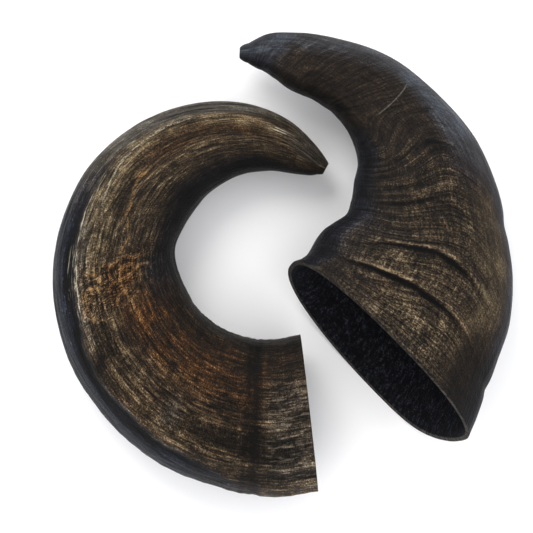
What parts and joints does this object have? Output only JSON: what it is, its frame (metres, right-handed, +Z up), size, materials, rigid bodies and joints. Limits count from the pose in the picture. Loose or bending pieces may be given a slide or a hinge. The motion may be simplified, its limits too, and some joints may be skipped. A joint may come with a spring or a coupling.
{
  "type": "pair of natural horn shofars",
  "caption": "Pair of curved natural horns, hollow from the sawn wide mouth, each with a narrow wind bore to a blow hole in its tip.",
  "frame": {"origin": "on the table, under the middle of the pair's bounding box", "axes": "+Z up from the table, +Y the pair's longest way, +X from the left horn to the right horn"},
  "size_m": [0.239, 0.2422, 0.0617],
  "materials": {
    "left_horn_keratin": "raw dark brown horn with tan ridges and blue-black edges, satin, fibrous and flaking",
    "right_horn_keratin": "raw brown-black horn with folds and growth rings, satin"
  },
  "bodies": {
    "left_horn": {"left_horn": "left_horn_keratin"},
    "right_horn": {"right_horn": "right_horn_keratin"}
  },
  "joints": [
    {"name": "right_horn_lift", "type": "slide", "parent": "left_horn", "child": "right_horn", "axis": [0, 0, 1], "range_m": [0, 0.12]}
  ]
}
